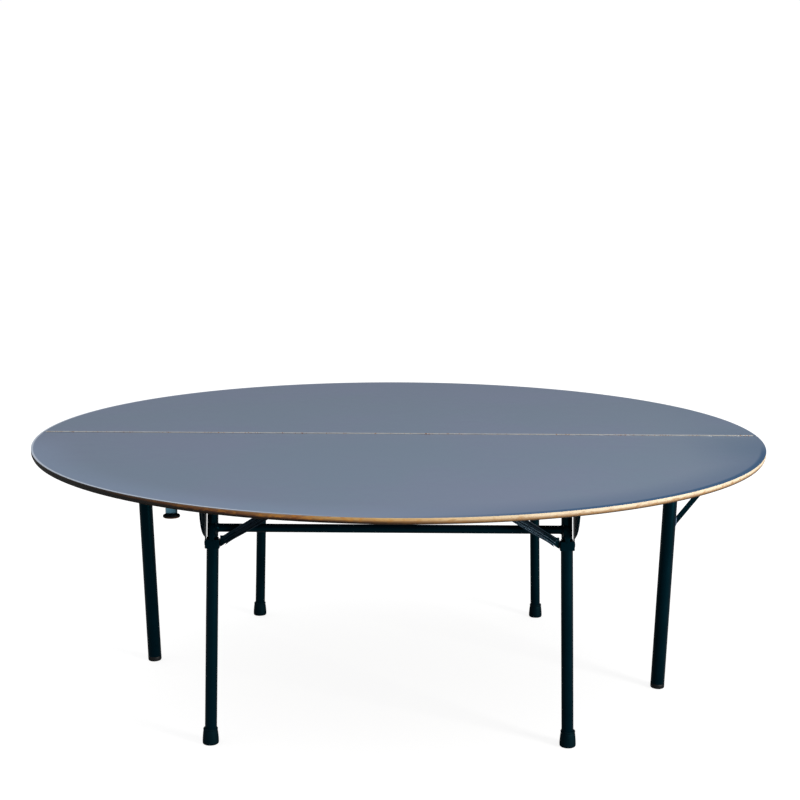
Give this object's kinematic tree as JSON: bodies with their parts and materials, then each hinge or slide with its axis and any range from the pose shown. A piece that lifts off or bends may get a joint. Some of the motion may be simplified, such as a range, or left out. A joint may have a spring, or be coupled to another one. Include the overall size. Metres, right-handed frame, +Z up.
{
  "type": "round folding table",
  "caption": "Large round table whose top folds along a hinged seam, on tubular frame legs with bolted knees and side legs with sliding braces.",
  "frame": {"origin": "on the floor under the middle of the top", "axes": "+Z up, X along the seam of the top, Y across it with the front half on the -Y side"},
  "size_m": [2.134, 2.134, 0.7428],
  "materials": {
    "laminate": "satin blue-grey decorative laminate",
    "plywood": "bare plywood edge",
    "backer": "dark brown backing sheet",
    "hinge_steel": "rolled, with a little surface rust",
    "dark_steel": "very dark blue-green enamel",
    "zinc": "zinc plated",
    "chrome_sleeve": "polished",
    "foot_rubber": "matt black",
    "glide_plastic": "moulded",
    "skirt_plastic": "moulded, worn brown at the lower edge"
  },
  "bodies": {
    "front_half": {"front_top_laminate": "laminate", "front_top_core": "plywood", "front_top_backer": "backer", "front_hinge_leaf": "hinge_steel", "front_left_leg_stub": "dark_steel", "front_left_knee_bracket": "dark_steel", "front_left_knee_bolt": "zinc", "front_left_gusset": "dark_steel", "front_left_channel_stay": "dark_steel", "front_right_leg_stub": "dark_steel", "front_right_knee_bracket": "dark_steel", "front_right_knee_bolt": "zinc", "front_right_gusset": "dark_steel", "front_right_channel_stay": "dark_steel", "front_crossbar": "dark_steel", "front_side_bracket": "dark_steel", "front_side_bolt": "zinc", "front_brace_rail": "dark_steel", "front_spool_post": "chrome_sleeve", "front_spool_skirt": "skirt_plastic", "hinge_pin": "hinge_steel"},
    "rear_half": {"rear_top_laminate": "laminate", "rear_top_core": "plywood", "rear_top_backer": "backer", "rear_hinge_leaf": "hinge_steel", "rear_left_leg_stub": "dark_steel", "rear_left_knee_bracket": "dark_steel", "rear_left_knee_bolt": "zinc", "rear_left_gusset": "dark_steel", "rear_left_channel_stay": "dark_steel", "rear_right_leg_stub": "dark_steel", "rear_right_knee_bracket": "dark_steel", "rear_right_knee_bolt": "zinc", "rear_right_gusset": "dark_steel", "rear_right_channel_stay": "dark_steel", "rear_crossbar": "dark_steel", "rear_side_bracket": "dark_steel", "rear_side_bolt": "zinc", "rear_brace_rail": "dark_steel", "rear_spool_post": "chrome_sleeve", "rear_spool_skirt": "skirt_plastic"},
    "front_left_leg": {"front_left_lower_leg": "dark_steel", "front_left_foot": "foot_rubber"},
    "front_right_leg": {"front_right_lower_leg": "dark_steel", "front_right_foot": "foot_rubber"},
    "front_side_leg": {"front_side_leg": "dark_steel", "front_side_glide": "glide_plastic", "front_brace_clip": "zinc", "front_brace_pin": "zinc"},
    "front_side_brace": {"front_side_brace": "dark_steel"},
    "rear_left_leg": {"rear_left_lower_leg": "dark_steel", "rear_left_foot": "foot_rubber"},
    "rear_right_leg": {"rear_right_lower_leg": "dark_steel", "rear_right_foot": "foot_rubber"},
    "rear_side_leg": {"rear_side_leg": "dark_steel", "rear_side_glide": "glide_plastic", "rear_brace_clip": "zinc", "rear_brace_pin": "zinc"},
    "rear_side_brace": {"rear_side_brace": "dark_steel"}
  },
  "joints": [
    {"name": "top_fold", "type": "hinge", "parent": "front_half", "child": "rear_half", "pos_m": [0, 0, 0.7406], "axis": [1, 0, 0], "range_deg": [0, 180]},
    {"name": "front_left_knee", "type": "hinge", "parent": "front_half", "child": "front_left_leg", "pos_m": [-0.48148, -0.58, 0.553], "axis": [0.9997, 0, -0.0244], "range_deg": [0, 90]},
    {"name": "front_right_knee", "type": "hinge", "parent": "front_half", "child": "front_right_leg", "pos_m": [0.44749, -0.58, 0.553], "axis": [0.9997, 0, 0.0244], "range_deg": [0, 90]},
    {"name": "rear_right_knee", "type": "hinge", "parent": "rear_half", "child": "rear_right_leg", "pos_m": [0.45319, 0.58, 0.553], "axis": [-0.9997, 0, -0.0244], "range_deg": [0, 90]},
    {"name": "rear_left_knee", "type": "hinge", "parent": "rear_half", "child": "rear_left_leg", "pos_m": [-0.46779, 0.58, 0.553], "axis": [-0.9997, 0, 0.0244], "range_deg": [0, 90]},
    {"name": "front_side_fold", "type": "hinge", "parent": "front_half", "child": "front_side_leg", "pos_m": [0.79959, -0.119, 0.698], "axis": [0, 1, 0], "range_deg": [0, 87.9]},
    {"name": "rear_side_fold", "type": "hinge", "parent": "rear_half", "child": "rear_side_leg", "pos_m": [-0.78659, 0.097, 0.698], "axis": [0, -1, 0], "range_deg": [0, 87.9]},
    {"name": "front_brace_fold", "type": "hinge", "parent": "front_side_leg", "child": "front_side_brace", "pos_m": [0.80483, -0.0925, 0.48607], "axis": [0, 1, 0], "range_deg": [-41.23, 0]},
    {"name": "rear_brace_fold", "type": "hinge", "parent": "rear_side_leg", "child": "rear_side_brace", "pos_m": [-0.79299, 0.0705, 0.51765], "axis": [0, -1, 0], "range_deg": [-43.81, 0]}
  ],
  "couplings": [
    {"joint": "front_brace_fold", "follows": "front_side_fold", "ratio": -0.4656},
    {"joint": "rear_brace_fold", "follows": "rear_side_fold", "ratio": -0.495}
  ]
}
